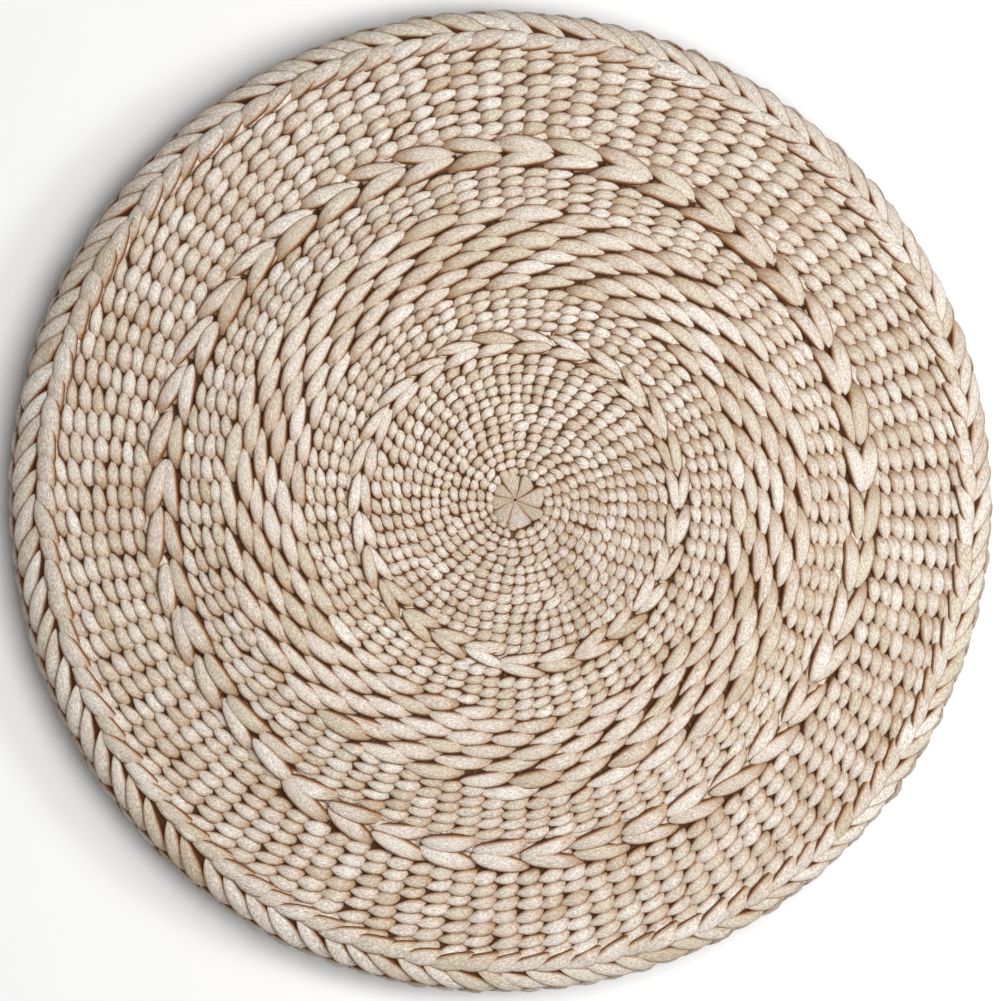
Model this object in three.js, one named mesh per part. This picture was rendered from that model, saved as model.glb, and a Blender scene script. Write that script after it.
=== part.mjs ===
// Round meditation mat, twined from plant fibre over a filling, as it lies on the floor.
// Millimetres, +Z up. The origin is the middle of the flat underside.
// A maker would make three pieces: the woven body, worked in one spiral from the middle and
// filled; the plait that covers its shoulder; and the star of folded strips it starts from.
// The bands of long leaf-shaped stitches, the two herringbone bands and the plait of the
// rim are raised leaf by leaf. The small stitches of the fields are raised row by row.

import * as THREE from 'three';

// Overall size. The weaving is a little wider than it is deep.
const MAT_WIDTH = 403;
const MAT_DEPTH = 400;
const CROWN_HEIGHT = 60;
const STAR_OFFSET = 1; // how far the star lies towards +X of the middle of the rim
const PIECE_GAP = 0.3; // between two pieces that touch

// Star of folded strips in the middle.
const STAR_RADIUS = 11;
const STAR_THICKNESS = 2;
const STAR_PETALS = 8;
const STAR_GROOVE = 0.8; // depth of the creases between two petals
const STAR_DIMPLE = 1; // depth of the hole in the middle

// Plait of the rim: a band bent over the shoulder of the body.
const PLAIT_ROUND = 16; // outer radius of its bent section
const PLAIT_THICKNESS = 5;
const PLAIT_LEVEL = 20.5; // height of the widest point of the mat
const PLAIT_SPOKES = 108; // leaves in each of its two rows
const PLAIT_RELIEF = 1.4; // from the groove between two leaves to their backs
const PLAIT_VALLEY = 62; // degrees above level, where its two rows of leaves meet
const PLAIT_TOP = 88;
const PLAIT_FOOT = -8;

// Wall and underside.
const WALL_SETBACK = 0.5; // the wall stands this far inside the plait's foot
const FOOT_RADIUS = 188; // of the flat underside
const ROUND_COLUMNS = 60; // corners of the plain rings of the wall
const SEAT_COLUMNS = 54; // corners of the rings that the plait covers

// Height of the crown above the floor at some distances from the middle.
const CROWN = [
  { radius: 0, height: 60 },
  { radius: 58, height: 59.4 },
  { radius: 85, height: 58.2 },
  { radius: 117, height: 53.8 },
  { radius: 134, height: 47.4 },
  { radius: 148, height: 43.6 },
  { radius: 184.3, height: 36.2 },
];

// Bands of the weaving, from the star to the rim. A field has plain rows, each a rib. In a
// band of leaves each row is a ring of leaf-shaped stitches, and lean says how each row's
// leaves lie: 1 when their clockwise end is the outer one.
const BANDS = [
  { outer: 58.5, relief: 0.9, rows: 13, columns: 26 }, // inner field
  { outer: 68.5, relief: 1.5, leaves: 27, lean: [1, -1] }, // inner herringbone
  { outer: 85, relief: 1, rows: 4, columns: 48 }, // second field
  { outer: 117, relief: 1.6, leaves: 34, lean: [1, 1, 1, 1, 1, 1] }, // long stitches
  { outer: 134, relief: 1, rows: 4, columns: 60 }, // third field
  { outer: 147.5, relief: 1.8, leaves: 44, lean: [1, -1] }, // outer herringbone
  { outer: 184.3, relief: 1.1, rows: 7, columns: ROUND_COLUMNS }, // outer field
];

// Backs of a raised leaf at its four corners: how high, and how far along its lean.
const LEAF = [
  { rise: 0.1, along: 0 },
  { rise: 0.8, along: -0.28 },
  { rise: 1, along: 0 },
  { rise: 0.8, along: 0.28 },
];

const TURN = 2 * Math.PI;
const rimRadius = MAT_DEPTH / 2;
const plaitCentre = rimRadius - PLAIT_ROUND;

// Where a point lies that is this far from the middle, at this angle and height.
function place(radius, angle, height) {
  const offset = STAR_OFFSET * (1 - (radius / rimRadius) ** 2);
  const x = radius * Math.cos(angle) * (MAT_WIDTH / MAT_DEPTH) + offset;
  return new THREE.Vector3(x, radius * Math.sin(angle), height);
}

// Smooth height of the crown through the rows of its table.
function crownHeight(radius) {
  const last = CROWN.length - 1;
  let row = 0;
  while (row < last - 1 && radius > CROWN[row + 1].radius) row += 1;
  const slope = (i) => {
    if (i === 0) return 0;
    const before = CROWN[i - 1];
    const after = CROWN[Math.min(i + 1, last)];
    return (after.height - before.height) / (after.radius - before.radius);
  };
  const from = CROWN[row];
  const to = CROWN[row + 1];
  const span = to.radius - from.radius;
  const t = (radius - from.radius) / span;
  const held = (1 + 2 * t) * (1 - t) ** 2 * from.height + t ** 2 * (3 - 2 * t) * to.height;
  const bent = t * (1 - t) ** 2 * slope(row) - t ** 2 * (1 - t) * slope(row + 1);
  return held + bent * span;
}

// A ring is a list of corners in order of angle, each { angle, point }.
function ring(columns, corner) {
  return Array.from({ length: columns }, (_, i) => {
    const { radius, height, turn = 0 } = corner(i);
    const angle = (i / columns) * TURN + turn;
    return { angle, point: place(radius, angle, height) };
  });
}

function plainRing(columns, radius, height) {
  return ring(columns, () => ({ radius, height }));
}

// Rings of one band. Those of a field are ridges and grooves in turn, without its two edges,
// and each row of leaves has a ring of their backs between two grooves.
function bandRings(band, inner) {
  const depth = band.outer - inner;
  if (!band.leaves) {
    return Array.from({ length: 2 * band.rows - 1 }, (_, i) => {
      const radius = inner + (depth * (i + 1)) / (2 * band.rows);
      const rise = i % 2 ? 0 : band.relief;
      return plainRing(band.columns, radius, crownHeight(radius) + rise);
    });
  }
  const columns = band.leaves * LEAF.length;
  const rowDepth = depth / band.lean.length;
  const groove = (radius) => plainRing(columns, radius, crownHeight(radius));
  const rings = [groove(inner)];
  band.lean.forEach((lean, row) => {
    const middle = inner + rowDepth * (row + 0.5);
    const halfShift = row % 2 ? LEAF.length / 2 : 0;
    rings.push(ring(columns, (i) => {
      const back = LEAF[(i + halfShift) % LEAF.length];
      const radius = middle - lean * back.along * rowDepth;
      return { radius, height: crownHeight(radius) + back.rise * band.relief };
    }));
    rings.push(groove(inner + rowDepth * (row + 1)));
  });
  return rings;
}

// Corners of the strip between two rings, upper ring first, facing away from their inside.
// Rings with equal numbers of corners join corner to corner, others by nearest angle.
function strip(upper, lower, at, faces) {
  const n = upper.length;
  const m = lower.length;
  const angleOf = (list, i) => list[i % list.length].angle + Math.floor(i / list.length) * TURN;
  let i = 0;
  let j = 0;
  while (i < n || j < m) {
    const evenStep = n === m ? i <= j : angleOf(upper, i + 1) <= angleOf(lower, j + 1);
    const stepUpper = j >= m || (i < n && evenStep);
    const a = at.upper + (i % n);
    const b = at.lower + (j % m);
    if (stepUpper) {
      i += 1;
      faces.push(a, b, at.upper + (i % n));
    } else {
      j += 1;
      faces.push(a, b, at.lower + (j % m));
    }
  }
}

// Closed mesh from rings in order. With ends it has a middle point at both of them, and
// without ends its last ring joins the first one.
function meshOf(name, rings, ends, look) {
  const points = rings.flat().map((corner) => corner.point);
  const starts = [];
  let count = 0;
  for (const list of rings) {
    starts.push(count);
    count += list.length;
  }
  const faces = [];
  const joins = ends ? rings.length - 1 : rings.length;
  for (let k = 0; k < joins; k += 1) {
    const next = (k + 1) % rings.length;
    strip(rings[k], rings[next], { upper: starts[k], lower: starts[next] }, faces);
  }
  if (ends) {
    const last = rings.length - 1;
    points.push(ends.top, ends.bottom);
    for (let i = 0; i < rings[0].length; i += 1) {
      faces.push(count, i, (i + 1) % rings[0].length);
    }
    for (let i = 0; i < rings[last].length; i += 1) {
      faces.push(count + 1, starts[last] + ((i + 1) % rings[last].length), starts[last] + i);
    }
  }
  const geometry = new THREE.BufferGeometry().setFromPoints(points);
  geometry.setIndex(faces);
  const flat = geometry.toNonIndexed();
  flat.computeVertexNormals();
  const mesh = new THREE.Mesh(flat, new THREE.MeshStandardMaterial(look));
  mesh.name = name;
  return mesh;
}

// Corner of the plait's bent section, in degrees above level, at some distance from its bend.
function bend(degrees, distance) {
  const angle = THREE.MathUtils.degToRad(degrees);
  return {
    radius: plaitCentre + distance * Math.cos(angle),
    height: PLAIT_LEVEL + distance * Math.sin(angle),
  };
}

// The section under the plait, from its top edge to its foot, as both pieces share it.
const SEAT_STEPS = 3;
const seatAngles = Array.from({ length: SEAT_STEPS + 1 }, (_, i) =>
  THREE.MathUtils.lerp(PLAIT_TOP, PLAIT_FOOT, i / SEAT_STEPS));

function wovenBody() {
  const starSeat = CROWN_HEIGHT - STAR_THICKNESS;
  const starWall = STAR_RADIUS + PIECE_GAP;
  const starColumns = STAR_PETALS * LEAF.length;
  const rings = [
    plainRing(starColumns, starWall, starSeat),
    plainRing(starColumns, starWall, crownHeight(starWall) - PIECE_GAP),
  ];
  let inner = starWall;
  for (const band of BANDS) {
    rings.push(...bandRings(band, inner));
    inner = band.outer;
  }

  // The step down beside the plait's top edge, the seat under it and the ledge at its foot.
  const edge = bend(PLAIT_TOP, PLAIT_ROUND);
  rings.push(plainRing(ROUND_COLUMNS, edge.radius - PIECE_GAP, crownHeight(edge.radius)));
  seatAngles.forEach((degrees, i) => {
    const seat = bend(degrees, PLAIT_ROUND - PLAIT_THICKNESS - PIECE_GAP);
    const inward = i === 0 ? PIECE_GAP : 0;
    const downward = i === SEAT_STEPS ? PIECE_GAP : 0;
    rings.push(plainRing(SEAT_COLUMNS, seat.radius - inward, seat.height - downward));
  });

  // The wall, from the ledge down to the flat underside.
  const foot = bend(PLAIT_FOOT, PLAIT_ROUND);
  const ledge = foot.height - PIECE_GAP;
  const wallRadius = foot.radius - WALL_SETBACK;
  const WALL = [
    { out: 1, up: 1 },
    { out: 1, up: 0.5 },
    { out: 0.72, up: 0.18 },
    { out: 0, up: 0 },
  ];
  for (const { out, up } of WALL) {
    const radius = THREE.MathUtils.lerp(FOOT_RADIUS, wallRadius, out);
    rings.push(plainRing(ROUND_COLUMNS, radius, ledge * up));
  }
  const ends = { top: place(0, 0, starSeat), bottom: place(0, 0, 0) };
  const look = { color: 0xdcc6aa, roughness: 0.85, metalness: 0 };
  return meshOf('woven_body', rings, ends, look);
}

// Two rows of leaves meet in a valley. Each leaf runs back from the valley, against the
// clock, as it goes up to the top edge or down to the foot.
function rimPlait() {
  const spoke = TURN / PLAIT_SPOKES;
  const SECTION = [
    { degrees: PLAIT_TOP, back: 1.5, rise: 0 },
    { degrees: 76, back: 0.8, rise: 1 },
    { degrees: PLAIT_VALLEY, back: 0, rise: 0.2 },
    { degrees: 40, back: 0.5, rise: 1 },
    { degrees: 14, back: 1.1, rise: 1 },
    { degrees: PLAIT_FOOT, back: 1.5, rise: 0 },
  ];
  const outside = SECTION.map(({ degrees, back, rise }) => ring(2 * PLAIT_SPOKES, (i) => {
    const relief = i % 2 ? -PLAIT_RELIEF / 2 : PLAIT_RELIEF / 2;
    const grooved = degrees === PLAIT_VALLEY ? -PLAIT_RELIEF / 2 : 0;
    return { ...bend(degrees, PLAIT_ROUND + rise * relief + grooved), turn: back * spoke };
  }));
  const inside = seatAngles.map((degrees) => {
    const seat = bend(degrees, PLAIT_ROUND - PLAIT_THICKNESS);
    return plainRing(SEAT_COLUMNS, seat.radius, seat.height);
  });
  const look = { color: 0xe0cbb0, roughness: 0.8, metalness: 0 };
  return meshOf('rim_plait', [...outside, ...inside.reverse()], null, look);
}

// Folded strips side by side round a small hole, each a flat petal between two creases.
function centreStar() {
  const columns = STAR_PETALS * LEAF.length;
  const under = CROWN_HEIGHT - STAR_THICKNESS + PIECE_GAP;
  const TOP = [
    { radius: 0.25, crease: 0.6, drop: 0.1 },
    { radius: 0.8, crease: 1, drop: 0 },
    { radius: 1, crease: 0.8, drop: 0.3 },
  ];
  const rings = TOP.map(({ radius, crease, drop }) => ring(columns, (i) => ({
    radius: STAR_RADIUS * radius,
    height: CROWN_HEIGHT - drop - (i % LEAF.length ? 0 : crease * STAR_GROOVE),
  })));
  rings.push(plainRing(columns, STAR_RADIUS, under));
  const ends = { top: place(0, 0, CROWN_HEIGHT - STAR_DIMPLE), bottom: place(0, 0, under) };
  const look = { color: 0xcfb38e, roughness: 0.8, metalness: 0 };
  return meshOf('centre_star', rings, ends, look);
}

const mat = new THREE.Group();
mat.name = 'meditation_mat';
mat.add(wovenBody(), rimPlait(), centreStar());

export default mat;
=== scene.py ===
"""Round meditation mat, twined from strips of plant leaf over a filling.

The rows wind outward clockwise from a star of folded strips. Every stitch is a closed mesh
of its own form, laid over a filled core. Lengths inside are millimetres along the mat's
section, and turn into metres when a mesh is made.
"""

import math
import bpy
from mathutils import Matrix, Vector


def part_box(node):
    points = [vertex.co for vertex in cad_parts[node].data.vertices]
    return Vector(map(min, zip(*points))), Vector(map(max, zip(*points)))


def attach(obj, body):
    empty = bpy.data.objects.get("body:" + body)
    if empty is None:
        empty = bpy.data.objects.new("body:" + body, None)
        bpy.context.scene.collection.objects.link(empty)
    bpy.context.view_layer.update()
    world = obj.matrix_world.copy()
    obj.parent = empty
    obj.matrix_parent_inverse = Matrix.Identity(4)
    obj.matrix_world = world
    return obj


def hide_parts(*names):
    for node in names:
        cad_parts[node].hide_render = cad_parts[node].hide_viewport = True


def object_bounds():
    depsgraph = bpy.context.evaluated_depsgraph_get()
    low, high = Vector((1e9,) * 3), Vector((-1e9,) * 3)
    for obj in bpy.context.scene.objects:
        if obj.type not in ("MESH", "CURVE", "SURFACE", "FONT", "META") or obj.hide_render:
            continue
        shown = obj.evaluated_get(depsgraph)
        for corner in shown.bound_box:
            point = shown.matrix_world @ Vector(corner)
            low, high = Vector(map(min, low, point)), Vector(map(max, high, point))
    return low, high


bl_info = {
    "name": "Twined Meditation Mat",
    "version": (1, 0, 0),
    "blender": (4, 5, 0),
    "location": "View3D > Sidebar > Mat",
    "description": "Lays a round mat of leaf stitches over its packed solids",
    "category": "Add Mesh",
}

import bpy
import numpy as np
from bpy.props import (
    FloatProperty,
    FloatVectorProperty,
    IntProperty,
    PointerProperty,
)
from mathutils import Vector

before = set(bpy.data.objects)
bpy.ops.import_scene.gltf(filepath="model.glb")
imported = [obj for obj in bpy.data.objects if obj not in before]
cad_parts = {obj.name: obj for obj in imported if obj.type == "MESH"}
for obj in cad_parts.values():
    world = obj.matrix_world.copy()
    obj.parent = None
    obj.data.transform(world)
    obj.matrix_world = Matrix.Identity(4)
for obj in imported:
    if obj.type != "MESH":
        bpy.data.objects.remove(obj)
CAD_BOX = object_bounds()

MM = 0.001
TURN = 2 * math.pi

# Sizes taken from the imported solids, in millimetres. STRETCH is length over width.
RIM_RADIUS = (CAD_BOX[1][1] - CAD_BOX[0][1]) / 2 / MM
STRETCH = (CAD_BOX[1][0] - CAD_BOX[0][0]) / (CAD_BOX[1][1] - CAD_BOX[0][1])
STAR_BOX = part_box("centre_star")
STAR_OFFSET = (STAR_BOX[0][0] + STAR_BOX[1][0]) / 2 / MM
STAR_RADIUS = (STAR_BOX[1][1] - STAR_BOX[0][1]) / 2 / MM
CROWN_TOP = STAR_BOX[1][2] / MM

# The section of the mat: pairs of radius and drop below the crown's top, the round shoulder
# under the plait, and pairs of radius and height down the wall to the flat underside.
CROWN_DROP = [(0, 0), (58, 0.6), (85, 1.8), (117, 6.2), (134, 12.6), (148, 16.4), (184, 23.8)]
SHOULDER = {"radius": 184, "height": 20.5, "round": 16}
WALL = [(199.2, 14), (198.6, 8), (195.5, 3), (188, 0)]
CORE_DEPTH = 2.4  # the core lies this far inside the outer form
CORE_COLUMNS = 120
CORE_STRIDE = 6  # steps of the section between two rings of the core's mesh
SECTION_STEP = 0.5
SHOULDER_INSIDE = SHOULDER["round"] - CORE_DEPTH
WAVE_FOOT = 8  # the surface waves from this height up, and fully from WAVE_FADE above it
WAVE_FADE = 25
UNDER_LEVEL = 0.15  # nothing of the weaving reaches lower

# Bands of the top, from the star outwards. Rows are turns of the spiral, spokes are what
# the strips pass over, and stride is how many of them one stitch covers. swell widens the
# rows from the inner edge to the outer one.
BANDS = [
    {"kind": "bead", "outer": 59.2, "rows": 13, "spokes": 56, "stride": 1, "swell": 0.1},
    {"kind": "leaf", "outer": 69.2, "rows": 2, "spokes": 54, "stride": 2, "swell": 0},
    {"kind": "grain", "outer": 85.7, "rows": 4, "spokes": 69, "stride": 1, "swell": 0},
    {"kind": "long", "outer": 117.7, "rows": 6, "spokes": 69, "stride": 2, "swell": 0.04},
    {"kind": "grain", "outer": 134.7, "rows": 4.09, "spokes": 86, "stride": 1, "swell": 0},
    {"kind": "leaf", "outer": 148.3, "rows": 2, "spokes": 88, "stride": 2, "swell": 0},
    {"kind": "grain", "outer": 187.3, "rows": 7.6, "spokes": 108, "stride": 1, "swell": 0},
]
FIRST_ANGLE = math.radians(262)  # where the spiral starts, counter-clockwise from +X
FIRST_RADIUS = 10.0
FIRST_SPOKES = 16
TURN_STEPS = 360  # how finely the spiral is worked out

# Spokes are added as the inner field grows: pairs of radius and number of spokes.
SPOKES_AT = [(10, 16), (15, 20), (18, 24), (24, 26), (27, 32), (31, 36), (34, 41), (40, 43),
             (45, 49), (51, 54), (60, 56)]
SPOKE = {"half_width": 0.9, "height": 0.25, "overlap": 1.5, "stray": 0.4}

# Forms of a stitch. reach and fill are shares of the cell it lies in. slant and roll are in
# degrees. thick, lift, the dips and bow are shares of its half width. The rounds and sharp
# set how full its ends are, and crease how deep the folds along it are. tail is the end
# that starts under the stitch before it, and tip is the clockwise end.
FORMS = {
    "bead": {"reach": 1.46, "fill": 1.42, "slant": 29, "thick": 0.56, "lift": 0.3,
             "tail_dip": 1.15, "tip_dip": 0.45, "tail_round": 2.4, "tip_round": 1.75,
             "sharp": 0.74, "bow": 0.06, "crease": 0.05, "roll": 17},
    "grain": {"reach": 1.52, "fill": 1.26, "slant": 16, "thick": 0.7, "lift": 0.36,
              "tail_dip": 1.25, "tip_dip": 0.36, "tail_round": 2.3, "tip_round": 1.65,
              "sharp": 0.8, "bow": 0.08, "crease": 0.08, "roll": 8},
    "long": {"reach": 1.34, "fill": 1.28, "slant": 10, "thick": 0.7, "lift": 0.4,
             "tail_dip": 1.3, "tip_dip": 0.38, "tail_round": 2.2, "tip_round": 2.3,
             "sharp": 0.68, "bow": 0.12, "crease": 0.12, "roll": 4},
    "leaf": {"reach": 1.3, "fill": 1.12, "slant": 11, "thick": 0.62, "lift": 0.66,
             "tail_dip": 1.3, "tip_dip": 0.3, "tail_round": 1.7, "tip_round": 3.0,
             "sharp": 0.66, "bow": 0.1, "crease": 0.2, "roll": 0},
    "plait_in": {"reach": 2.05, "fill": 1.07, "slant": 12, "thick": 0.56, "lift": 0.5,
                 "tail_dip": 1.5, "tip_dip": 0.35, "tail_round": 2.6, "tip_round": 1.9,
                 "sharp": 0.66, "bow": 0.06, "crease": 0.16, "roll": -20},
    "plait_out": {"reach": 2.7, "fill": 1.0, "slant": -28, "thick": 0.4, "lift": 0.26,
                  "tail_dip": 1.2, "tip_dip": 0.2, "tail_round": 3.4, "tip_round": 1.9,
                  "sharp": 0.62, "bow": 0.06, "crease": 0.2, "roll": 15},
    "wall": {"reach": 1.36, "fill": 1.14, "slant": 15, "thick": 0.76, "lift": 0.34,
             "tail_dip": 1.2, "tip_dip": 0.42, "tail_round": 2.5, "tip_round": 1.95,
             "sharp": 0.68, "bow": 0.08, "crease": 0.06, "roll": 5},
    "under": {"reach": 1.32, "fill": 1.2, "slant": 12, "thick": 0.62, "lift": 0.2,
              "tail_dip": 0.7, "tip_dip": 0.5, "tail_round": 2.3, "tip_round": 2.2,
              "sharp": 0.66, "bow": 0.05, "crease": 0.0, "roll": 0},
}

# How much the stitches of a hand-made mat differ: shares of the usual size, slant, height,
# row width, gap between spokes and tone.
STRAY = {"length": 0.045, "width": 0.06, "slant": 0.16, "thick": 0.07, "lift": 0.12,
         "row": 0.035, "spoke": 0.05, "tone": 0.26}

# How finely each kind is meshed: rings along it and sides around it.
MESH = {
    "bead": (8, 9),
    "grain": (9, 10),
    "long": (13, 14),
    "leaf": (14, 14),
    "plait_in": (13, 12),
    "plait_out": (15, 12),
    "wall": (8, 9),
    "under": (6, 6),
    "spoke": (12, 6),
    "petal": (14, 16),
}

# Plain rows under the leaf pairs of a herringbone band, seen only in the gaps between them.
TUCKED_ROWS = 3
TUCKED_DEPTH = 0.7

# Rows below the plait and on the underside, where pairs give radius and number of spokes.
WALL_START = -4.2  # from the widest level down along the section
WALL_PITCH = 4.9
WALL_ROWS = 6
WALL_SPOKES = [(0, 108)]
UNDER_PITCH = 5.6
UNDER_END = 1.5  # the underside's last row ends at least this far from the middle
UNDER_SPOKES = [(0, 6), (12, 16), (30, 32), (60, 54), (110, 72), (150, 90), (200, 108)]

# The plait's two rows, by distance along the section from its valley. follows is how much
# of the valley's straying each takes up.
PLAIT_SPOKES = 108
PLAIT_VALLEY = 63  # degrees above level, round the shoulder's middle
PLAIT_ROWS = {
    "plait_in": {"middle": -3.5, "depth": 6.9, "follows": 1.0},
    "plait_out": {"middle": 6.5, "depth": 7.0, "follows": 0.5},
}

# The field goes under the plait: its stitches start to sink at cover, this far inside the
# valley, and within slope more they have sunk by depth.
UNDER_PLAIT = {"cover": 11.5, "slope": 5, "depth": 0.55}

# How far the valley of the plait strays: pairs of degrees from +X and millimetres outwards.
VALLEY_WAVE = [(0, -0.6), (30, 0.7), (75, -0.8), (140, 1.6), (180, -0.8), (216, -3.0),
               (260, 0.2), (320, 1.9)]

# Petals of the star: the middle of each as an angle from +X, and its width, in degrees, and
# its length as a share of the star's radius.
PETALS = [
    {"angle": 99, "width": 54, "length": 0.98},
    {"angle": 50, "width": 44, "length": 0.95},
    {"angle": 4, "width": 48, "length": 1.1},
    {"angle": -36.5, "width": 33, "length": 1.16},
    {"angle": -80.5, "width": 55, "length": 1.06},
    {"angle": -130.5, "width": 45, "length": 1.02},
    {"angle": -173, "width": 41, "length": 0.92},
    {"angle": 147, "width": 42, "length": 0.84},
]
PETAL_SPREAD = 1.16  # a petal is so many times its width, to reach under its neighbours
PETAL_START = 0.5  # from the star's middle
PETAL_THICKNESS = 0.65  # from the middle of a petal to its upper side
PETAL_SINK = 0.6  # a petal's middle lies this far below the top of the crown
STAR_SHIFT = {"x": -0.9, "y": 0.5}  # from the middle of the star's solid

# The stage, in metres: the middle of the picture, the floor's half side and the lamps.
# FLOOR_SHADE is the floor's grey.
AIM = (-0.0014, 0.00025, SHOULDER["height"] * MM)
FLOOR_HALF = 3.0
FLOOR_SHADE = 0.93
KEY_LAMP = {"place": (1.34, -0.05, 1.42), "size": 0.5}
TOP_LAMP = {"place": (0.3, -0.02, 2.1), "size": 1.3}
SENSOR_WIDTH = 36.0  # millimetres


def leaf_colour(name, description, default):
    """A colour that a user may change."""
    return FloatVectorProperty(
        name=name,
        description=description,
        default=default,
        size=3,
        min=0.0,
        max=1.0,
        subtype="COLOR",
    )


class MatWeave(bpy.types.PropertyGroup):
    """How unevenly the mat is worked."""

    seed: IntProperty(
        name="Seed",
        description="Which hand-made variation is laid",
        default=7,
        min=0,
    )
    unevenness: FloatProperty(
        name="Unevenness",
        description="How much stitches differ in size and slant, 1 as in a usual mat",
        default=1.0,
        min=0.0,
        max=2.0,
        subtype="FACTOR",
    )
    waviness: FloatProperty(
        name="Waviness",
        description="How far the surface and the rows stray from an even form",
        default=0.0006,
        min=0.0,
        max=0.002,
        unit="LENGTH",
    )


class MatColours(bpy.types.PropertyGroup):
    """Colours of the dry leaf and of the painted shade on its stitches."""

    light: leaf_colour(
        "Light leaf", "Colour of the upper side of a stitch", (0.955, 0.882, 0.79)
    )
    straw: leaf_colour("Straw leaf", "Colour of the greener strips", (0.77, 0.685, 0.515))
    # The warm colour is the darker strips' own tone and the painted shade on the sides of a
    # stitch.
    warm_and_shade: leaf_colour(
        "Warm leaf", "Colour of the sides of a stitch and of darker strips", (0.42, 0.19, 0.046)
    )
    # The colour between the stitches is painted shade.
    gap_shade: leaf_colour("Deep leaf", "Colour between the stitches", (0.14, 0.036, 0.008))


class MatStage(bpy.types.PropertyGroup):
    """Floor, light and camera."""

    lean: FloatProperty(
        name="Camera lean",
        description="How far the camera leans from straight above towards -X",
        default=math.radians(6.4),
        subtype="ANGLE",
    )
    distance: FloatProperty(
        name="Camera distance",
        description="From the camera to the middle of the mat",
        default=3.0,
        min=0.5,
        unit="LENGTH",
    )
    view_width: FloatProperty(
        name="View width",
        description="How much of the mat's widest level the picture takes in",
        default=0.4084,
        unit="LENGTH",
    )
    key_power: FloatProperty(
        name="Key light",
        description="Power of the soft light from the right, in watts",
        default=11.3,
        min=0.0,
    )
    top_power: FloatProperty(
        name="Top light",
        description="Power of the wide light overhead, in watts",
        default=37.2,
        min=0.0,
    )
    sky: FloatProperty(
        name="Sky light",
        description="Strength of the even light from all sides",
        default=0.14,
        min=0.0,
    )


def lookup(pairs, at, period=None):
    """The value at some place, by straight lines between pairs of place and value."""
    places, values = zip(*pairs)
    return np.interp(at, places, values, period=period)


def smooth_drop(radius):
    """Drop of the crown below its top, smooth through its pairs."""
    at, drop = np.array(CROWN_DROP, float).T
    slope = np.zeros(len(at))
    slope[1:-1] = (drop[2:] - drop[:-2]) / (at[2:] - at[:-2])
    slope[-1] = (drop[-1] - drop[-2]) / (at[-1] - at[-2])
    i = np.clip(np.searchsorted(at, radius, side="right") - 1, 0, len(at) - 2)
    span = at[i + 1] - at[i]
    t = (radius - at[i]) / span
    held = (1 + 2 * t) * (1 - t) ** 2 * drop[i] + t**2 * (3 - 2 * t) * drop[i + 1]
    bent = t * (1 - t) ** 2 * slope[i] - t**2 * (1 - t) * slope[i + 1]
    return held + bent * span


def section_line():
    """Corners of the core's section, from the top's middle round to the underside's."""
    radius = np.arange(0, SHOULDER["radius"], 2.0)
    crown = np.stack([radius, CROWN_TOP - smooth_drop(radius) - CORE_DEPTH], axis=1)
    angle = np.radians(np.arange(90, -1, -6.0))
    bend = np.stack([np.cos(angle), np.sin(angle)], axis=1) * SHOULDER_INSIDE
    bend = bend + [SHOULDER["radius"], SHOULDER["height"]]
    wall = [(radius - CORE_DEPTH, max(height, CORE_DEPTH)) for radius, height in WALL]
    return np.concatenate([crown, bend, wall, [(0, CORE_DEPTH)]])


def swell(angle, radius):
    """Low waves of a surface worked by hand, that don't repeat round the mat."""
    waves = np.sin(3 * angle + 0.7) * np.sin(radius / 31 + 1.1)
    waves = waves + 0.7 * np.sin(5 * angle - 2.1 - radius / 40)
    return waves + 0.5 * np.sin(2 * angle + 1.9 + radius / 23)


def softened(values, samples):
    """A row of values, each the weighted mean of its surroundings."""
    weight = np.hanning(samples) / np.hanning(samples).sum()
    return np.convolve(np.pad(values, samples // 2, mode="edge"), weight, "valid")


class Section:
    """The core's section by distance along it, with the way out of the surface."""

    def __init__(self):
        line = section_line()
        length = np.concatenate([[0], np.cumsum(np.hypot(*np.diff(line, axis=0).T))])
        self.along = np.arange(0, length[-1], SECTION_STEP)
        self.radius = np.interp(self.along, length, line[:, 0])
        self.height = np.interp(self.along, length, line[:, 1])
        run = softened(np.gradient(self.radius, SECTION_STEP), 15)
        fall = softened(np.gradient(self.height, SECTION_STEP), 15)
        size = np.hypot(run, fall)
        self.out_radius = -fall / size
        self.out_height = run / size
        self.top_end = int(np.argmax(self.radius))

    def distance_of(self, radius):
        """Distance along the section of a point of the top, by its radius."""
        top = slice(0, self.top_end)
        return np.interp(radius, self.radius[top], self.along[top])

    def radius_at(self, along):
        """Radius of a point at some distance along the section."""
        return np.interp(along, self.along, self.radius)

    def points(self, angle, along, out, wave):
        """Points of the mat, in millimetres, at some distance out of the core."""
        along = np.abs(along)
        radius = self.radius_at(along)
        height = np.interp(along, self.along, self.height)
        fade = np.clip((height - WAVE_FOOT) / WAVE_FADE, 0, 1)
        out = out + wave * fade * swell(angle, radius)
        radius = radius + out * np.interp(along, self.along, self.out_radius)
        height = height + out * np.interp(along, self.along, self.out_height)
        offset = STAR_OFFSET * (1 - (radius / RIM_RADIUS) ** 2)
        x = radius * np.cos(angle) * STRETCH + offset
        y = radius * np.sin(angle)
        z = np.maximum(height, UNDER_LEVEL)
        return np.stack([x, y, z], axis=-1)


SECTION = Section()


def plait_valley(angle, follows=1.0):
    """Distance along the section of the plait's valley, which strays as its wave says.

    The wave's corners are rounded off by a mean over 24 degrees.
    """
    degrees = np.degrees(angle) % 360
    near = [lookup(VALLEY_WAVE, (degrees + shift) % 360, 360) for shift in range(-12, 13, 6)]
    level = SECTION.distance_of(SHOULDER["radius"])
    level = level + SHOULDER_INSIDE * math.radians(90 - PLAIT_VALLEY)
    return level + follows * np.mean(near, axis=0)


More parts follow.
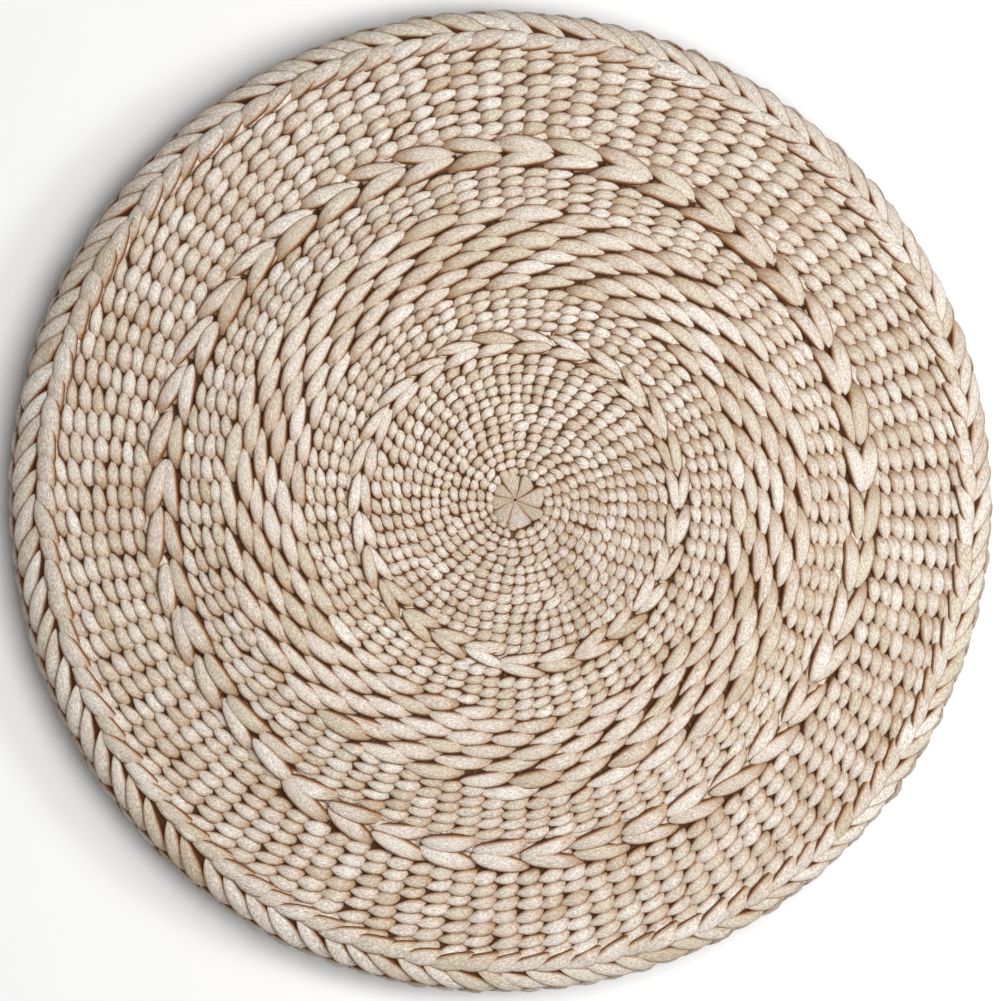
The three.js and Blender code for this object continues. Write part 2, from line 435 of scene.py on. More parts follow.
def grown(spokes, count, rng):
    """The spokes' angles with new ones put into the widest gaps."""
    spokes = np.sort(spokes)
    while len(spokes) < count:
        gaps = np.diff(np.append(spokes, spokes[0] + TURN))
        widest = int(np.argmax(gaps * (1 + 0.25 * rng.random(len(gaps)))))
        middle = spokes[widest] + gaps[widest] / 2
        spokes = np.sort(np.append(spokes, middle % TURN))
    return spokes


def relaxed(spokes, rounds):
    """The spokes' angles, each moved towards the middle of its neighbours."""
    for _ in range(rounds):
        before = np.roll(spokes, 1)
        after = np.roll(spokes, -1)
        before[0] -= TURN
        after[-1] += TURN
        spokes = spokes + 0.5 * ((before + after) / 2 - spokes)
    return np.sort(spokes % TURN)


def crossings(band, inner, spokes, rng):
    """Clock angles and widths of a band's spokes, turn by turn, and the last spokes.

    Only the innermost band gains spokes from turn to turn. The others keep their number.
    """
    found = []
    for turn in range(math.ceil(band["rows"])):
        if band is BANDS[0]:
            radius = inner + (band["outer"] - inner) * (turn + 1) / band["rows"]
            spokes = relaxed(grown(spokes, int(lookup(SPOKES_AT, radius)), rng), 8)
        elif turn == 0:
            spokes = np.linspace(0, TURN, band["spokes"], endpoint=False)
        width = (np.roll(spokes, -1) - np.roll(spokes, 1)) % TURN / 2
        stray = STRAY["spoke"] * width * rng.normal(size=len(spokes))
        found.append(np.stack([turn * TURN + spokes + stray, width], axis=1))
    found = np.concatenate(found)
    return found[found[:, 0] < band["rows"] * TURN], spokes


def wound_rows():
    """The spiral by turns wound: its distance along the section and the row's width.

    Every row lies against the one a turn before it, so their half widths add up.
    """
    widths = []
    inner = FIRST_RADIUS
    for band in BANDS:
        near = SECTION.distance_of(inner)
        far = SECTION.distance_of(band["outer"])
        share = (np.arange(round(band["rows"] * TURN_STEPS)) + 0.5) / TURN_STEPS
        share = share / band["rows"]
        grow = 1 - band["swell"] + 2 * band["swell"] * share
        widths.append((far - near) / band["rows"] * grow)
        inner = band["outer"]
    width = np.concatenate(widths)
    turns = np.arange(len(width)) / TURN_STEPS
    along = SECTION.distance_of(FIRST_RADIUS) + width[0] * turns
    for at in range(TURN_STEPS, len(width), TURN_STEPS):
        here = np.arange(at, min(at + TURN_STEPS, len(width)))
        before = here - TURN_STEPS
        along[here] = along[before] + (width[here] + width[before]) / 2
    return turns, softened(along, 17), width


def laid_bands(rng):
    """Every stitch of the top's bands as rows of angle, distance, cell length and depth."""
    spokes = np.linspace(0, TURN, FIRST_SPOKES, endpoint=False)
    turns, distance, width = wound_rows()
    start = FIRST_ANGLE
    inner = FIRST_RADIUS
    wound = 0.0
    bands = []
    for band in BANDS:
        found, spokes = crossings(band, inner, spokes, rng)
        stride = band["stride"]
        if stride > 1:
            count = len(found) // stride
            groups = found[: count * stride].reshape(count, stride, 2)
            found = np.stack([groups[:, :, 0].mean(1), groups[:, :, 1].sum(1)], axis=1)
        at = wound + found[:, 0] / TURN
        along = np.interp(at, turns, distance)
        bands.append({
            "band": band,
            "angle": start - found[:, 0],
            "row": (found[:, 0] // TURN).astype(int),
            "along": along,
            "cell": found[:, 1] * SECTION.radius_at(along),
            "depth": np.interp(at, turns, width),
        })
        turned = (band["rows"] * TURN) % TURN
        start -= turned
        spokes = np.sort((spokes - turned) % TURN)
        wound += band["rows"]
        inner = band["outer"]
    return bands


def local_forms(kind, cell, depth, slant_sign, rng, uneven):
    """Leaf-shaped closed tubes in their own place: clockwise, outward and out of the core.

    Each array has a row per stitch, a column per ring and an item per side. back is 1 on
    the upper side and 0 below, and tuck grows towards the tail.
    """
    form = FORMS[kind]
    rings, sides = MESH[kind]
    count = len(cell)
    # From tail to tip t goes from -1 to 1 nearly, and the rings are closer near both ends.
    step = np.arange(rings) / (rings - 1)
    t = -np.cos(np.pi * (0.04 + 0.92 * step))[None, :, None]
    around = (np.arange(sides) / sides * TURN)[None, None, :]

    def vary(share):
        return 1 + share * uneven * rng.normal(size=count)[:, None, None]

    half_length = cell[:, None, None] * form["reach"] / 2 * vary(STRAY["length"])
    half_width = depth[:, None, None] * form["fill"] / 2 * vary(STRAY["width"])
    slant = np.radians(form["slant"] * slant_sign)[:, None, None] * vary(STRAY["slant"])
    slant = slant + np.radians(2.0) * (vary(1.0) - 1)
    phase = rng.random(count)[:, None, None] * TURN

    # Width and thickness shrink towards both ends, and each has lumps of its own.
    rounding = np.where(t < 0, form["tail_round"], form["tip_round"])
    taper = (1 - np.abs(t) ** rounding) ** form["sharp"]
    lump = 1 + 0.05 * uneven * np.sin(2.3 * t + phase)
    width = half_width * taper * lump
    thick = half_width * form["thick"] * taper**0.85 * vary(STRAY["thick"])
    thick = thick * (1 + 0.06 * uneven * np.sin(3.4 * t + 2 * phase))

    # The stitch lies highest in its middle and dips at both ends.
    dip = np.where(t < 0, form["tail_dip"], form["tip_dip"])
    lift = half_width * (form["lift"] * vary(STRAY["lift"]) - dip * np.abs(t) ** 2.6)
    # Two folds wander along its back, and its outline across is fuller than an ellipse.
    crest = np.pi / 2 + 0.55 * np.sin(1.4 * t + phase)
    fold = 1 - form["crease"] * np.exp(-(((around - crest) / 0.3) ** 2))
    fold = fold * (1 - 0.6 * form["crease"] * np.exp(-(((around - crest - 0.9) / 0.25) ** 2)))
    across = np.sign(np.cos(around)) * np.abs(np.cos(around)) ** 0.92
    upward = np.sign(np.sin(around)) * np.abs(np.sin(around)) ** 0.88
    side = width * across
    up = thick * upward * fold
    bow = form["bow"] * half_width * (1 - t**2) * slant_sign[:, None, None]
    x = half_length * t * np.cos(slant) - side * np.sin(slant)
    y = half_length * t * np.sin(slant) + side * np.cos(slant) + bow
    out = lift + up + side * np.sin(np.radians(form["roll"]))
    back = np.broadcast_to(0.5 + 0.5 * np.sin(around), out.shape)
    thread = np.broadcast_to(half_length * t, out.shape)
    tuck = np.clip(-0.1 - t, 0, 1) + 0 * out
    return {"x": x, "y": y, "out": out, "thread": thread, "girth": around + 0 * out,
            "width": half_width + 0 * out, "tuck": tuck, "back": back}


def leaf_faces(count, rings, sides):
    """Corner numbers of quads and end triangles for many closed tubes."""
    ring, side = np.meshgrid(np.arange(rings - 1), np.arange(sides), indexing="ij")
    a = ring * sides + side
    b = ring * sides + (side + 1) % sides
    quads = np.stack([a, b, b + sides, a + sides], axis=-1).reshape(-1, 4)
    s = np.arange(sides)
    tail, tip = rings * sides, rings * sides + 1
    last = (rings - 1) * sides
    low = np.stack([np.full(sides, tail), (s + 1) % sides, s], axis=1)
    high = np.stack([np.full(sides, tip), last + s, last + (s + 1) % sides], axis=1)
    ends = np.concatenate([low, high])
    shift = (np.arange(count) * (rings * sides + 2))[:, None, None]
    return (quads[None] + shift).reshape(-1, 4), (ends[None] + shift).reshape(-1, 3)


def new_mesh_object(name, points, quads, triangles, numbers):
    """A smooth mesh object from points in millimetres, with number layers on its points."""
    if not len(points) or not np.isfinite(points).all():
        raise RuntimeError(f"{name} has no points or a point that isn't a number")
    mesh = bpy.data.meshes.new(name)
    corners = np.concatenate([quads.ravel(), triangles.ravel()])
    totals = np.concatenate([np.full(len(quads), 4), np.full(len(triangles), 3)])
    starts = np.concatenate([[0], np.cumsum(totals)[:-1]])
    mesh.vertices.add(len(points))
    mesh.vertices.foreach_set("co", (points * MM).astype(np.float32).ravel())
    mesh.loops.add(len(corners))
    mesh.loops.foreach_set("vertex_index", corners.astype(np.int32))
    mesh.polygons.add(len(totals))
    mesh.polygons.foreach_set("loop_start", starts.astype(np.int32))
    mesh.polygons.foreach_set("loop_total", totals.astype(np.int32))
    mesh.update(calc_edges=True)
    mesh.validate()
    mesh.shade_smooth()
    for key, values in numbers.items():
        kind = "FLOAT_VECTOR" if values.ndim == 2 else "FLOAT"
        layer = mesh.attributes.new(key, kind, "POINT")
        field = "vector" if values.ndim == 2 else "value"
        layer.data.foreach_set(field, values.astype(np.float32).ravel())
    piece = bpy.data.objects.new(name, mesh)
    bpy.context.scene.collection.objects.link(piece)
    return piece


def with_ends(values):
    """Points of many tubes with one more at the middle of each end, in order."""
    count, rings, sides = values.shape[:3]
    rest = values.shape[3:]
    body = values.reshape(count, rings * sides, *rest)
    tail = values[:, 0].mean(axis=1, keepdims=True)
    tip = values[:, -1].mean(axis=1, keepdims=True)
    return np.concatenate([body, tail, tip], axis=1).reshape(-1, *rest)


def stitch_numbers(forms, tint, rng):
    """Layers that the materials read: how high a point stands, its strip, its thread."""
    count = len(tint)
    offset = rng.random(count)[:, None, None] * 60
    half = forms["width"]
    turn = (forms["girth"] - np.pi / 2 + np.pi) % TURN - np.pi
    strand = np.stack(
        [forms["thread"] + offset, half * np.sin(turn / 2) * 1.6, offset + 0 * half],
        axis=-1,
    )
    return {
        "strand": with_ends(strand),
        "rise": with_ends(forms["back"]),
        "tuck": with_ends(forms["tuck"]),
        "tint": with_ends(tint[:, None, None] + 0 * half),
    }


def lay_stitches(name, kind, laid, rng, slant_sign=None, sunk=0.0):
    """One mesh of stitches of a kind, laid on the core at their angles and distances."""
    weave = bpy.context.scene.mat_weave
    count = len(laid["angle"])
    sign = np.ones(count) if slant_sign is None else slant_sign
    forms = local_forms(kind, laid["cell"], laid["depth"], sign, rng, weave.unevenness)
    jog = laid["depth"] * STRAY["row"] * weave.unevenness * rng.normal(size=count)
    along = (laid["along"] + jog)[:, None, None] + forms["y"]
    radius = np.maximum(SECTION.radius_at(laid["along"]), 1.0)[:, None, None]
    angle = laid["angle"][:, None, None] - forms["x"] / radius
    points = SECTION.points(angle, along, forms["out"] - sunk, weave.waviness / MM)
    quads, ends = leaf_faces(count, *MESH[kind])
    tint = np.clip(0.5 + STRAY["tone"] * rng.normal(size=count), 0, 1)
    numbers = stitch_numbers(forms, tint, rng)
    return new_mesh_object(name, with_ends(points), quads, ends, numbers)


def rows_along(first, rows, pitch, spokes, rng):
    """Plain rows at a fixed pitch along the section, from a distance onwards.

    spokes holds pairs of radius and number of spokes.
    """
    laid = {"angle": [], "along": [], "cell": [], "depth": []}
    for row in range(rows):
        here = first + pitch * row
        radius = float(SECTION.radius_at(here))
        count = int(lookup(spokes, radius))
        step = TURN / count
        at = (np.arange(count) + 0.3 * (row % 2) + 0.04 * rng.normal(size=count)) * step
        laid["angle"].append(-at)
        laid["along"].append(here + pitch * at / TURN)
        laid["cell"].append(np.full(count, step * radius))
        laid["depth"].append(np.full(count, pitch))
    return {key: np.concatenate(values) for key, values in laid.items()}


def group_tree(name, inputs, outputs):
    """An empty shader node group with named sockets."""
    tree = bpy.data.node_groups.new(name, "ShaderNodeTree")
    for label, kind, value in inputs:
        socket = tree.interface.new_socket(label, in_out="INPUT", socket_type=kind)
        if value is not None:
            socket.default_value = value
    for label, kind in outputs:
        tree.interface.new_socket(label, in_out="OUTPUT", socket_type=kind)
    return tree


def add_node(tree, kind, inputs=None, **settings):
    """A node with its settings, and each input set to a value or linked to an output."""
    node = tree.nodes.new(kind)
    for key, value in settings.items():
        setattr(node, key, value)
    for key, value in (inputs or {}).items():
        socket = node.inputs[key]
        if kind == "ShaderNodeMix" and key in ("A", "B"):
            socket = next(s for s in node.inputs if s.name == key and s.type == "RGBA")
        if isinstance(value, bpy.types.NodeSocket):
            tree.links.new(value, socket)
        else:
            socket.default_value = value
    return node


def maths(tree, operation, *values):
    """Output of a math node on values or other nodes' outputs."""
    node = tree.nodes.new("ShaderNodeMath")
    node.operation = operation
    for socket, value in zip(node.inputs, values):
        if isinstance(value, bpy.types.NodeSocket):
            tree.links.new(value, socket)
        else:
            socket.default_value = value
    return node.outputs[0]


def leaf_fibre_group():
    """Fine fibres along a strip of dry leaf, from its thread coordinates."""
    name = "Leaf Fibre"
    if name in bpy.data.node_groups:
        return bpy.data.node_groups[name]
    tree = group_tree(
        name,
        [
            ("Strand", "NodeSocketVector", None),
            ("Fineness", "NodeSocketFloat", 1.0),
        ],
        [("Streak", "NodeSocketFloat"), ("Fleck", "NodeSocketFloat"),
         ("Height", "NodeSocketFloat")],
    )
    source = add_node(tree, "NodeGroupInput").outputs

    def stretched(along, across, detail, roughness):
        """Noise drawn out along the strand."""
        place = add_node(tree, "ShaderNodeVectorMath",
                         {0: source["Strand"], 1: (along, across, 1.0)}, operation="MULTIPLY")
        return add_node(tree, "ShaderNodeTexNoise", {
            "Vector": place.outputs[0], "Scale": source["Fineness"], "Detail": detail,
            "Roughness": roughness,
        }).outputs[0]

    def weighed(fibre_share, fold_share):
        """The fibres and the folds together, by their shares."""
        return maths(tree, "ADD", maths(tree, "MULTIPLY", fibres, fibre_share),
                     maths(tree, "MULTIPLY", folds, fold_share))

    def sharpened(value):
        """Noise with its middle range spread over the whole of 0 to 1."""
        return add_node(tree, "ShaderNodeMapRange",
                        {"Value": value, "From Min": 0.36, "From Max": 0.64}).outputs[0]

    fibres = stretched(0.42, 2.6, 4.0, 0.7)
    folds = stretched(0.22, 1.1, 2.0, 0.5)
    flecks = stretched(0.9, 2.2, 3.0, 0.8)
    add_node(tree, "NodeGroupOutput", {"Streak": sharpened(weighed(0.65, 0.35)),
                                       "Fleck": sharpened(flecks),
                                       "Height": weighed(0.8, 0.9)})
    return tree


def leaf_tone_group():
    """Colour of a strip: light on its back, with painted shade that is warm on its sides and dark
    between stitches.
    """
    name = "Leaf Tone"
    if name in bpy.data.node_groups:
        return bpy.data.node_groups[name]
    tones = [(tone, "NodeSocketColor", None) for tone in ("Light", "Straw", "Warm and shade", "Gap shade")]
    masks = {"Rise": 1.0, "Tuck": 0.0, "Tint": 0.5, "Streak": 0.5, "Fleck": 0.5}
    masks = [(mask, "NodeSocketFloat", value) for mask, value in masks.items()]
    tree = group_tree(name, tones + masks, [("Colour", "NodeSocketColor")])

    def blended(share, below, above, **settings):
        """One colour over another by a mask."""
        return add_node(tree, "ShaderNodeMix", {"Factor": share, "A": below, "B": above},
                        data_type="RGBA", **settings).outputs[2]

    def shade_below(least, most):
        """Painted shade mask: 1 where a point stands lower than least, and 0 above most."""
        return add_node(tree, "ShaderNodeMapRange", {
            "Value": source["Rise"], "From Min": least, "From Max": most, "To Min": 1.0,
            "To Max": 0.0,
        }, interpolation_type="SMOOTHSTEP").outputs[0]

    source = add_node(tree, "NodeGroupInput").outputs
    # How warm a point is: its strip, its fibres and broad patches give its own tone, and its tuck
    # and its height add painted shade on the tucked tail and the lower sides.
    warmth_and_shade = maths(tree, "ADD", maths(tree, "MULTIPLY", source["Tint"], 0.3),
                   maths(tree, "MULTIPLY", source["Streak"], 0.34))
    place = add_node(tree, "ShaderNodeNewGeometry").outputs["Position"]
    patch = add_node(tree, "ShaderNodeTexNoise",
                     {"Vector": place, "Scale": 38.0, "Detail": 2.0}).outputs[0]
    warmth_and_shade = maths(tree, "ADD", warmth_and_shade, maths(tree, "MULTIPLY", patch, 0.3))
    warmth_and_shade = maths(tree, "ADD", warmth_and_shade, maths(tree, "MULTIPLY", source["Tuck"], 0.7))
    warmth_and_shade = maths(tree, "SUBTRACT", warmth_and_shade, 0.3)
    # Painted shade: the lower sides of a stitch turn warm.
    warmth_and_shade = maths(tree, "ADD", warmth_and_shade, shade_below(0.6, 0.98))
    warmth_and_shade = maths(tree, "MINIMUM", maths(tree, "MAXIMUM", warmth_and_shade, 0.0), 1.0)
    # How greenish a strip is, by a number of its own drawn from its tint.
    green = add_node(tree, "ShaderNodeMapRange",
                     {"Value": maths(tree, "FRACT", maths(tree, "MULTIPLY", source["Tint"], 7.3)),
                      "From Min": 0.45, "From Max": 1.0, "To Max": 0.8}).outputs[0]
    pale = blended(green, source["Light"], source["Straw"])
    back = blended(warmth_and_shade, pale, source["Warm and shade"])
    worn = add_node(tree, "ShaderNodeMapRange",
                    {"Value": source["Fleck"], "To Min": 0.56, "To Max": 1.18}).outputs[0]
    worn = add_node(tree, "ShaderNodeCombineColor", {0: worn, 1: worn, 2: worn}).outputs[0]
    spotted = blended(1.0, back, worn, blend_type="MULTIPLY")
    # Painted shade: the lowest sides of a stitch, between the stitches, turn dark.
    gap_shade = blended(shade_below(0.57, 0.88), spotted, source["Gap shade"])
    add_node(tree, "NodeGroupOutput", {"Colour": gap_shade})
    return tree


def new_material(name):
    """An empty material with its node tree and its surface shader."""
    material = bpy.data.materials.new(name)
    material.use_nodes = True
    tree = material.node_tree
    return material, tree, tree.nodes["Principled BSDF"]


def leaf_material(name, light, straw, warm_and_shade, gap_shade, fineness, bump):
    """Dry plant leaf with fibres along each strip."""
    material, tree, surface = new_material(name)

    def layer(label, output):
        """A layer of numbers on the mesh's points."""
        return add_node(tree, "ShaderNodeAttribute", attribute_name=label).outputs[output]

    fibre = add_node(tree, "ShaderNodeGroup", {
        "Strand": layer("strand", "Vector"), "Fineness": fineness,
    }, node_tree=leaf_fibre_group()).outputs
    tone = add_node(tree, "ShaderNodeGroup", {
        "Light": (*light, 1.0), "Straw": (*straw, 1.0), "Warm and shade": (*warm_and_shade, 1.0),
        "Gap shade": (*gap_shade, 1.0), "Rise": layer("rise", "Fac"), "Tuck": layer("tuck", "Fac"),
        "Tint": layer("tint", "Fac"), "Streak": fibre["Streak"], "Fleck": fibre["Fleck"],
    }, node_tree=leaf_tone_group()).outputs
    rough = add_node(tree, "ShaderNodeMapRange",
                     {"Value": fibre["Streak"], "To Min": 0.58, "To Max": 0.8})
    relief = add_node(tree, "ShaderNodeBump",
                      {"Height": fibre["Height"], "Strength": bump, "Distance": 0.0004})
    tree.links.new(tone["Colour"], surface.inputs["Base Color"])
    tree.links.new(rough.outputs[0], surface.inputs["Roughness"])
    tree.links.new(relief.outputs[0], surface.inputs["Normal"])
    surface.inputs["Specular IOR Level"].default_value = 0.3
    surface.inputs["Sheen Weight"].default_value = 0.08
    return material


def core_material(name, gap_shade, warm_and_shade):
    """Fibres of the filling's cover, as they show between stitches, in the painted shade colours
    darkened further.
    """
    material, tree, surface = new_material(name)
    place = add_node(tree, "ShaderNodeNewGeometry").outputs["Position"]
    fibre = add_node(tree, "ShaderNodeTexNoise",
                     {"Vector": place, "Scale": 900.0, "Detail": 3.0}).outputs[0]
    mixed = add_node(tree, "ShaderNodeMix", {"Factor": fibre, "A": (*gap_shade, 1.0),
                                             "B": (*warm_and_shade, 1.0)}, data_type="RGBA")
    relief = add_node(tree, "ShaderNodeBump",
                      {"Height": fibre, "Strength": 0.5, "Distance": 0.0005})
    tree.links.new(mixed.outputs[2], surface.inputs["Base Color"])
    tree.links.new(relief.outputs[0], surface.inputs["Normal"])
    surface.inputs["Roughness"].default_value = 0.9
    return material


def shaded(colour, factor):
    """A colour made darker by a factor."""
    return tuple(float(c) * factor for c in colour)


def give(piece, material):
    """Puts a piece on the mat's body with its material."""
    piece.data.materials.append(material)
    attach(piece, "root")


def leaf_look(name, light, straw, warm_and_shade, gap_shade, fineness, bump):
    """The leaf material of some name, with the mat's colours darkened by factors."""
    tones = bpy.context.scene.mat_colours
    return bpy.data.materials.get(name) or leaf_material(
        name, shaded(tones.light, light), shaded(tones.straw, straw),
        shaded(tones.warm_and_shade, warm_and_shade), shaded(tones.gap_shade, gap_shade), fineness, bump,
    )


def weave_material():
    """The leaf of the body's stitches."""
    return leaf_look("dry_leaf_weave", 1.0, 1.0, 1.0, 1.0, 1.0, 0.6)


def random_for(purpose):
    """A random source of its own for each group of pieces."""
    return np.random.default_rng([bpy.context.scene.mat_weave.seed, purpose])


class MAT_OT_core(bpy.types.Operator):
    """Lay the filled core that shows only between the stitches"""

    bl_idname = "mat.core"
    bl_label = "Filled core"

    def execute(self, context):
        columns = CORE_COLUMNS
        along = SECTION.along[CORE_STRIDE::CORE_STRIDE]
        ring = np.arange(columns) / columns * TURN
        wave = context.scene.mat_weave.waviness / MM
        grid = SECTION.points(ring[None, :], along[:, None], 0.0, wave)
        rows = len(along)
        top = SECTION.points(np.zeros(1), np.zeros(1), 0.0, wave)
        low = SECTION.points(np.zeros(1), SECTION.along[-1:], 0.0, 0.0)
        points = np.concatenate([grid.reshape(-1, 3), top, low])
        row, column = np.meshgrid(np.arange(rows - 1), np.arange(columns), indexing="ij")
        a = row * columns + column
        b = row * columns + (column + 1) % columns
        quads = np.stack([a, a + columns, b + columns, b], axis=-1).reshape(-1, 4)
        here = np.arange(columns)
        after = (here + 1) % columns
        middle = np.full(columns, rows * columns)
        last = (rows - 1) * columns
        cap = np.stack([middle, here, after], axis=1)
        base = np.stack([middle + 1, last + after, last + here], axis=1)
        core = new_mesh_object("filled_core", points, quads, np.concatenate([cap, base]), {})
        tones = context.scene.mat_colours
        # The core's colours are the painted shade colours, darkened further.
        material = core_material("core_gap_shade", shaded(tones.gap_shade, 0.5), shaded(tones.warm_and_shade, 0.22))
        give(core, material)
        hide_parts("woven_body")
        return {"FINISHED"}


class MAT_OT_fields(bpy.types.Operator):
    """Lay the four fields of small stitches"""

    bl_idname = "mat.fields"
    bl_label = "Fields of small stitches"

    def execute(self, context):
        names = iter(["inner_field", "second_field", "third_field", "outer_field"])
        rng = random_for(2)
        for laid in laid_bands(random_for(1)):
            kind = laid["band"]["kind"]
            if kind in ("bead", "grain"):
                beyond = laid["along"] - plait_valley(laid["angle"]) + UNDER_PLAIT["cover"]
                share = np.clip(beyond / UNDER_PLAIT["slope"], 0, 1)[:, None, None]
                sunk = UNDER_PLAIT["depth"] * share
                piece = lay_stitches(next(names), kind, laid, rng, sunk=sunk)
                give(piece, weave_material())
        return {"FINISHED"}


class MAT_OT_spokes(bpy.types.Operator):
    """Lay the spokes that the strips pass over, seen in the gaps between stitches"""

    bl_idname = "mat.spokes"
    bl_label = "Spokes"

    def execute(self, context):
        rng = random_for(9)
        wave = context.scene.mat_weave.waviness / MM
        rings, sides = MESH["spoke"]
        step = np.linspace(0, 1, rings)[None, :, None]
        around = (np.arange(sides) / sides * TURN)[None, None, :]
        parts = []
        inner = FIRST_RADIUS
        for band in BANDS:
            count = band["spokes"]
            near = SECTION.distance_of(inner) - SPOKE["overlap"]
            far = SECTION.distance_of(band["outer"]) + SPOKE["overlap"]
            middle = (np.arange(count) + 0.1 * rng.normal(size=count)) / count * TURN
            bend = np.sin(5 * step + rng.random(count)[:, None, None] * TURN)
            along = near + (far - near) * step + 0 * around
            half = SPOKE["half_width"] * (1 - (2 * step - 1) ** 12) ** 0.5
            half = np.maximum(half, 0.1)
            side = half * np.cos(around) + SPOKE["stray"] * bend
            out = SPOKE["height"] + 0.7 * half * np.sin(around)
            angle = middle[:, None, None] + side / SECTION.radius_at(along)
            points = SECTION.points(angle, along + 0 * angle, out + 0 * angle, wave)
            parts.append(with_ends(points))
            inner = band["outer"]
        points = np.concatenate(parts)
        count = len(points) // (rings * sides + 2)
        quads, ends = leaf_faces(count, rings, sides)
        spoke = np.arange(len(points)) // (rings * sides + 2)
        # The spokes' fixed rise puts them partly in the painted side shade and gap shade.
        flat = np.full(len(points), 0.8)
        tint = 0.5 + 0.5 * np.sin(spoke * 2.4)
        numbers = {"strand": points, "rise": flat, "tuck": flat, "tint": tint}
        spokes = new_mesh_object("spokes", points, quads, ends, numbers)
        tones = context.scene.mat_colours
        # The spokes take darkened copies of the warm colour, which holds the painted side shade.
        material = leaf_material("spoke_strip", shaded(tones.warm_and_shade, 0.6),
                                 shaded(tones.warm_and_shade, 0.5), shaded(tones.warm_and_shade, 0.35),
                                 shaded(tones.gap_shade, 0.7), 1.0, 0.4)
        give(spokes, material)
        return {"FINISHED"}


class MAT_OT_long_stitches(bpy.types.Operator):
    """Lay the band of long stitches, each over two spokes"""

    bl_idname = "mat.long_stitches"
    bl_label = "Long stitches"

    def execute(self, context):
        rng = random_for(3)
        for laid in laid_bands(random_for(1)):
            if laid["band"]["kind"] == "long":
                piece = lay_stitches("long_stitches", "long", laid, rng)
                give(piece, weave_material())
        return {"FINISHED"}


class MAT_OT_herringbone(bpy.types.Operator):
    """Lay the two bands of leaf pairs that point clockwise"""

    bl_idname = "mat.herringbone"
    bl_label = "Herringbone bands"

    def execute(self, context):
        names = iter(["inner", "outer"])
        rng = random_for(4)
        inner = FIRST_RADIUS
        for laid in laid_bands(random_for(1)):
            band = laid["band"]
            if band["kind"] == "leaf":
                name = next(names)
                sign = np.where(laid["row"] == 0, 1.0, -1.0)
                piece = lay_stitches(name + "_herringbone", "leaf", laid, rng, sign)
                give(piece, weave_material())
                near = SECTION.distance_of(inner)
                pitch = (SECTION.distance_of(band["outer"]) - near) / TUCKED_ROWS
                below = rows_along(near, TUCKED_ROWS, pitch, [(0, band["spokes"])], rng)
                piece = lay_stitches(name + "_tucked_rows", "wall", below, rng,
                                     sunk=TUCKED_DEPTH)
                give(piece, weave_material())
            inner = band["outer"]
        return {"FINISHED"}


class MAT_OT_plait(bpy.types.Operator):
    """Lay the plait of the rim, two rows of leaves that meet in a valley"""

    bl_idname = "mat.plait"
    bl_label = "Rim plait"

    def execute(self, context):
        rng = random_for(5)
        material = leaf_look("dry_leaf_plait", 1.0, 1.0, 1.0, 1.0, 0.9, 0.7)
        step = TURN / PLAIT_SPOKES
        for kind, row in PLAIT_ROWS.items():
            at = (np.arange(PLAIT_SPOKES) + 0.06 * rng.normal(size=PLAIT_SPOKES)) * step
            laid = {
                "angle": -at,
                "along": plait_valley(-at, row["follows"]) + row["middle"],
                "cell": np.full(PLAIT_SPOKES, step * RIM_RADIUS),
                "depth": np.full(PLAIT_SPOKES, row["depth"]),
            }
            piece = lay_stitches(kind, kind, laid, rng)
            give(piece, material)
            if kind == "plait_out":
                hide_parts("rim_plait")
        return {"FINISHED"}


class MAT_OT_wall(bpy.types.Operator):
    """Lay the rows below the plait, down to the floor"""

    bl_idname = "mat.wall"
    bl_label = "Rows of the wall"

    def execute(self, context):
        rng = random_for(6)
        start = SECTION.along[SECTION.top_end] + WALL_START
        laid = rows_along(start, WALL_ROWS, WALL_PITCH, WALL_SPOKES, rng)
        piece = lay_stitches("wall_rows", "wall", laid, rng)
        # The wall's leaf is painted shade: the leaf's colours darkened where the wall turns from
        # the light.
        give(piece, leaf_look("wall_leaf_painted_shade", 0.66, 0.66, 0.7, 1.0, 1.0, 0.6))
        return {"FINISHED"}


class MAT_OT_underside(bpy.types.Operator):
    """Lay the plain rows of the underside"""

    bl_idname = "mat.underside"
    bl_label = "Underside"

    def execute(self, context):
        rng = random_for(7)
        start = SECTION.along[SECTION.top_end] + WALL_START + WALL_ROWS * WALL_PITCH
        rows = int((SECTION.along[-1] - start - UNDER_END) / UNDER_PITCH)
        laid = rows_along(start, rows, UNDER_PITCH, UNDER_SPOKES, rng)
        piece = lay_stitches("underside_rows", "under", laid, rng)
        give(piece, weave_material())
        return {"FINISHED"}


